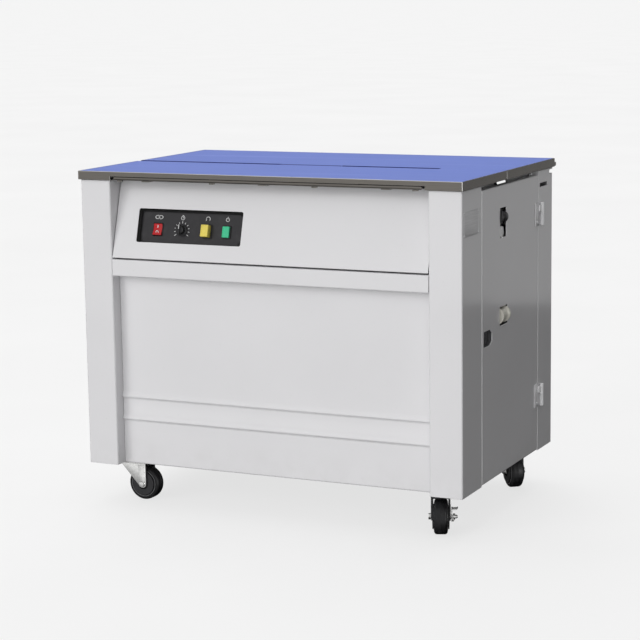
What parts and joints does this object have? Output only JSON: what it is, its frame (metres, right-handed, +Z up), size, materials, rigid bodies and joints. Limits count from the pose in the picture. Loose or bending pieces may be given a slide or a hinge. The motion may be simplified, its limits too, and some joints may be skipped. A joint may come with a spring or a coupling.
{
  "type": "semi automatic strapping machine",
  "caption": "Table-height strapping machine: grey sheet-steel cabinet on swivel casters, blue two-leaf table with a strap slot, sloping control panel and a hinged reel door.",
  "frame": {"origin": "on the floor under the middle of the bounding box", "axes": "+X to the machine's right (the reel door side), +Y to its rear, +Z up"},
  "size_m": [0.903, 0.594, 0.744],
  "materials": {
    "grey_paint": "satin",
    "blue_paint": "satin",
    "stainless": "brushed",
    "zinc_plate": "satin",
    "machined_steel": "machined",
    "cast_alloy": "as cast",
    "black_plastic": "matte",
    "caster_tread": "matte",
    "belt_rubber": "matte",
    "nylon": "satin",
    "red_plastic": "gloss",
    "yellow_plastic": "gloss",
    "green_plastic": "gloss",
    "plate_aluminium": "satin"
  },
  "bodies": {
    "cabinet": {"base_plate": "grey_paint", "front_left_post": "grey_paint", "front_right_post": "grey_paint", "rear_left_post": "grey_paint", "rear_right_post": "grey_paint", "left_side_cover": "grey_paint", "rear_cover": "grey_paint", "cable_gland": "black_plastic", "lower_front_panel": "grey_paint", "front_cross_rail": "grey_paint", "control_fascia": "grey_paint", "top_frame": "machined_steel", "front_hinge_rod": "stainless", "rear_hinge_rod": "zinc_plate", "upper_hinge_pin": "zinc_plate", "lower_hinge_pin": "zinc_plate", "data_plate": "plate_aluminium", "switch_plate": "black_plastic", "head_frame": "cast_alloy", "drive_motor": "cast_alloy", "gearbox": "cast_alloy", "drive_belt": "belt_rubber", "strap_pool": "zinc_plate", "reel_bracket": "zinc_plate", "electrical_box": "machined_steel"},
    "front_leaf": {"front_table_leaf": "stainless", "front_table_skin": "blue_paint"},
    "rear_leaf": {"rear_table_leaf": "stainless", "rear_table_skin": "blue_paint"},
    "door": {"side_door": "grey_paint", "door_roller_bracket": "zinc_plate", "upper_hinge_knuckle": "zinc_plate", "lower_hinge_knuckle": "zinc_plate"},
    "strap_reel": {"reel_core": "machined_steel", "reel_outer_flange": "machined_steel"},
    "guide_roller": {"guide_roller": "nylon"},
    "upper_guide_roller": {"upper_guide_roller": "black_plastic"},
    "power_rocker": {"power_rocker": "red_plastic"},
    "timer_knob": {"timer_knob": "black_plastic"},
    "feed_button": {"feed_button": "yellow_plastic"},
    "reset_button": {"reset_button": "green_plastic"},
    "camshaft": {"camshaft": "machined_steel"},
    "front_press": {"front_press": "machined_steel"},
    "centre_press": {"centre_press": "machined_steel"},
    "rear_press": {"rear_press": "machined_steel"},
    "slide_anvil": {"slide_anvil": "machined_steel"},
    "feed_roller": {"feed_roller": "machined_steel"},
    "pinch_roller": {"pinch_roller": "cast_alloy"},
    "motor_pulley": {"motor_pulley": "machined_steel"},
    "gearbox_pulley": {"gearbox_pulley": "machined_steel"},
    "front_left_fork": {"front_left_caster_fork": "zinc_plate"},
    "front_left_wheel": {"front_left_wheel": "caster_tread"},
    "front_left_brake": {"front_left_brake_lever": "zinc_plate"},
    "front_right_fork": {"front_right_caster_fork": "zinc_plate"},
    "front_right_wheel": {"front_right_wheel": "caster_tread"},
    "front_right_brake": {"front_right_brake_lever": "zinc_plate"},
    "rear_left_fork": {"rear_left_caster_fork": "zinc_plate"},
    "rear_left_wheel": {"rear_left_wheel": "caster_tread"},
    "rear_right_fork": {"rear_right_caster_fork": "zinc_plate"},
    "rear_right_wheel": {"rear_right_wheel": "caster_tread"}
  },
  "joints": [
    {"name": "front_leaf_hinge", "type": "hinge", "parent": "cabinet", "child": "front_leaf", "pos_m": [-0.0035, -0.293, 0.7292], "axis": [1, 0, 0], "range_deg": [0, 95]},
    {"name": "rear_leaf_hinge", "type": "hinge", "parent": "cabinet", "child": "rear_leaf", "pos_m": [-0.0035, 0.2925, 0.7306], "axis": [-1, 0, 0], "range_deg": [0, 95]},
    {"name": "door_hinge", "type": "hinge", "parent": "cabinet", "child": "door", "pos_m": [0.4469, 0.1945, 0.42], "axis": [0, 0, 1], "range_deg": [0, 170]},
    {"name": "guide_roller_spin", "type": "hinge", "parent": "door", "child": "guide_roller", "pos_m": [0.431, -0.0425, 0.436], "axis": [0, 1, 0], "continuous": true},
    {"name": "upper_roller_spin", "type": "hinge", "parent": "door", "child": "upper_guide_roller", "pos_m": [0.4335, -0.0445, 0.646], "axis": [0, 1, 0], "continuous": true},
    {"name": "power_rocker_tilt", "type": "hinge", "parent": "cabinet", "child": "power_rocker", "pos_m": [-0.273, -0.25957, 0.61672], "axis": [1, 0, 0], "range_deg": [0, 12]},
    {"name": "timer_knob_turn", "type": "hinge", "parent": "cabinet", "child": "timer_knob", "pos_m": [-0.2145, -0.27209, 0.62025], "axis": [0, -0.9624, 0.2716], "range_deg": [-135, 135]},
    {"name": "feed_button_press", "type": "slide", "parent": "cabinet", "child": "feed_button", "axis": [0, 0.9624, -0.2716], "range_m": [0, 0.004], "stiffness_N_per_m": 250, "springref_m": -0.003},
    {"name": "reset_button_press", "type": "slide", "parent": "cabinet", "child": "reset_button", "axis": [0, 0.9624, -0.2716], "range_m": [0, 0.003], "stiffness_N_per_m": 250, "springref_m": -0.003},
    {"name": "camshaft_turn", "type": "hinge", "parent": "cabinet", "child": "camshaft", "pos_m": [-0.0145, -0.0315, 0.61], "axis": [1, 0, 0], "range_deg": [0, 180]},
    {"name": "front_press_lift", "type": "slide", "parent": "cabinet", "child": "front_press", "axis": [0, 0, 1], "range_m": [0, 0.028]},
    {"name": "centre_press_lift", "type": "slide", "parent": "cabinet", "child": "centre_press", "axis": [0, 0, 1], "range_m": [0, 0.028]},
    {"name": "rear_press_lift", "type": "slide", "parent": "cabinet", "child": "rear_press", "axis": [0, 0, 1], "range_m": [0, 0.028]},
    {"name": "anvil_slide", "type": "slide", "parent": "cabinet", "child": "slide_anvil", "axis": [0, 1, 0], "range_m": [0, 0.02]},
    {"name": "feed_roller_spin", "type": "hinge", "parent": "cabinet", "child": "feed_roller", "pos_m": [0.1085, -0.0315, 0.64], "axis": [0, 1, 0], "continuous": true},
    {"name": "pinch_roller_spin", "type": "hinge", "parent": "cabinet", "child": "pinch_roller", "pos_m": [0.1085, -0.0315, 0.6786], "axis": [0, 1, 0], "continuous": true},
    {"name": "gearbox_pulley_spin", "type": "hinge", "parent": "cabinet", "child": "gearbox_pulley", "pos_m": [-0.2175, -0.0315, 0.61], "axis": [1, 0, 0], "continuous": true},
    {"name": "motor_pulley_spin", "type": "hinge", "parent": "cabinet", "child": "motor_pulley", "pos_m": [-0.2175, -0.0315, 0.2], "axis": [1, 0, 0], "continuous": true},
    {"name": "strap_reel_spin", "type": "hinge", "parent": "cabinet", "child": "strap_reel", "pos_m": [0.3025, -0.0055, 0.31], "axis": [1, 0, 0], "continuous": true},
    {"name": "front_left_swivel", "type": "hinge", "parent": "cabinet", "child": "front_left_fork", "pos_m": [-0.3735, -0.2195, 0.098], "axis": [0, 0, 1], "continuous": true},
    {"name": "front_left_wheel_spin", "type": "hinge", "parent": "front_left_fork", "child": "front_left_wheel", "pos_m": [-0.3455, -0.2195, 0.0375], "axis": [0, 1, 0], "continuous": true},
    {"name": "front_left_brake_tilt", "type": "hinge", "parent": "front_left_fork", "child": "front_left_brake", "pos_m": [-0.3455, -0.2195, 0.0375], "axis": [0, 1, 0], "range_deg": [0, 18]},
    {"name": "front_right_swivel", "type": "hinge", "parent": "cabinet", "child": "front_right_fork", "pos_m": [0.3665, -0.2195, 0.098], "axis": [0, 0, 1], "continuous": true},
    {"name": "front_right_wheel_spin", "type": "hinge", "parent": "front_right_fork", "child": "front_right_wheel", "pos_m": [0.37608, -0.24581, 0.0375], "axis": [0.9397, 0.342, 0], "continuous": true},
    {"name": "front_right_brake_tilt", "type": "hinge", "parent": "front_right_fork", "child": "front_right_brake", "pos_m": [0.37608, -0.24581, 0.0375], "axis": [0.9397, 0.342, 0], "range_deg": [0, 18]},
    {"name": "rear_left_swivel", "type": "hinge", "parent": "cabinet", "child": "rear_left_fork", "pos_m": [-0.3735, 0.2085, 0.098], "axis": [0, 0, 1], "continuous": true},
    {"name": "rear_left_wheel_spin", "type": "hinge", "parent": "rear_left_fork", "child": "rear_left_wheel", "pos_m": [-0.39775, 0.2225, 0.0375], "axis": [-0.5, -0.866, 0], "continuous": true},
    {"name": "rear_right_swivel", "type": "hinge", "parent": "cabinet", "child": "rear_right_fork", "pos_m": [0.3665, 0.2085, 0.098], "axis": [0, 0, 1], "continuous": true},
    {"name": "rear_right_wheel_spin", "type": "hinge", "parent": "rear_right_fork", "child": "rear_right_wheel", "pos_m": [0.38355, 0.18629, 0.0375], "axis": [0.7934, 0.6088, 0], "continuous": true}
  ],
  "couplings": [
    {"joint": "front_press_lift", "follows": "camshaft_turn", "m_per_rad": 0.0089127},
    {"joint": "centre_press_lift", "follows": "camshaft_turn", "m_per_rad": 0.0089127},
    {"joint": "rear_press_lift", "follows": "camshaft_turn", "m_per_rad": 0.0089127},
    {"joint": "pinch_roller_spin", "follows": "feed_roller_spin", "ratio": -1.375},
    {"joint": "motor_pulley_spin", "follows": "gearbox_pulley_spin", "ratio": 1.9643}
  ]
}
